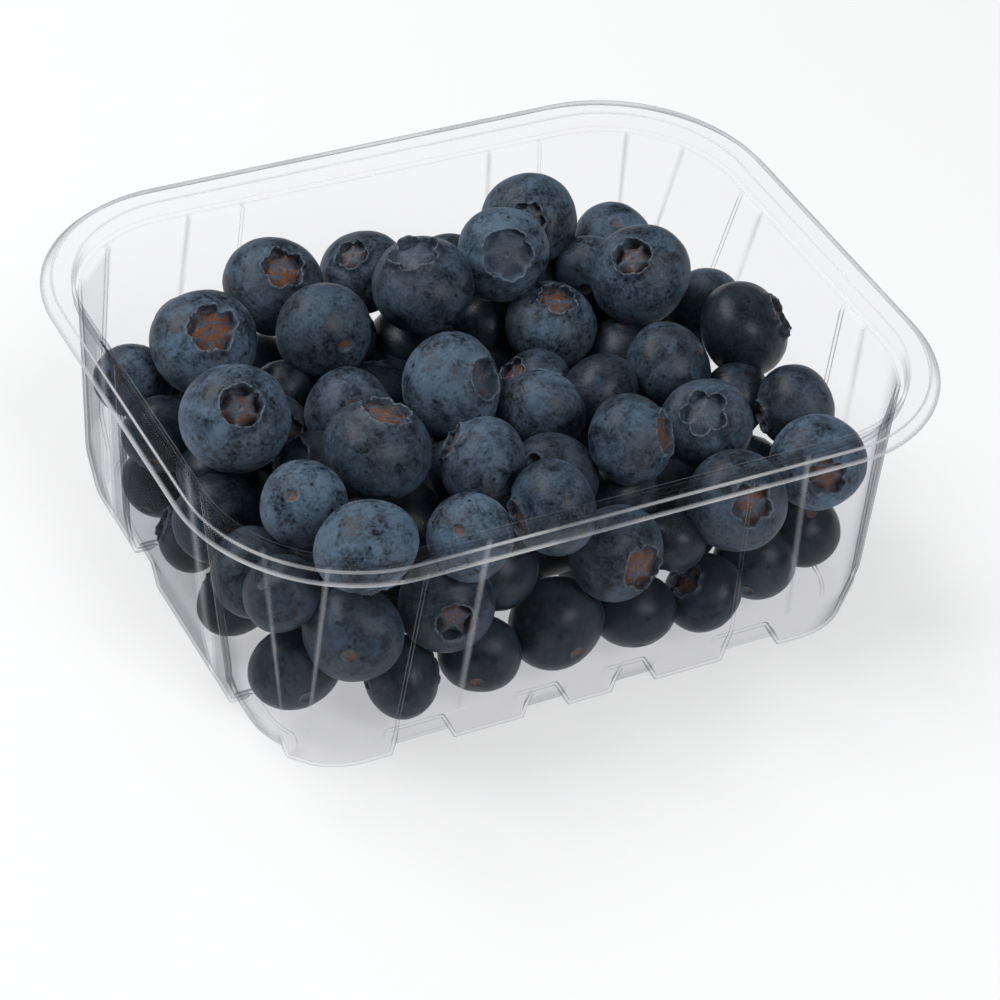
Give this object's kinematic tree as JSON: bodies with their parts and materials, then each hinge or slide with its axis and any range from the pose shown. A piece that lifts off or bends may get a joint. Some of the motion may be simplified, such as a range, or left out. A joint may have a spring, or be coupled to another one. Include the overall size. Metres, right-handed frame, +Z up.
{
  "type": "fruit punnet",
  "caption": "Rectangular clear plastic punnet with rounded corners, a flat flange and a footed base, filled with loose round blueberries.",
  "frame": {"origin": "centre of the base, on the plane the tray stands on", "axes": "+X along the long side, +Y across the tray from the front wall to the back wall, +Z up"},
  "size_m": [0.1224, 0.0978, 0.043],
  "materials": {
    "tray": "clear thin thermoformed sheet, glossy",
    "berries": "dark blue berry skin with a powdery bloom"
  },
  "bodies": {
    "root": {"tray": "tray", "berry_heap": "berries"}
  },
  "joints": []
}
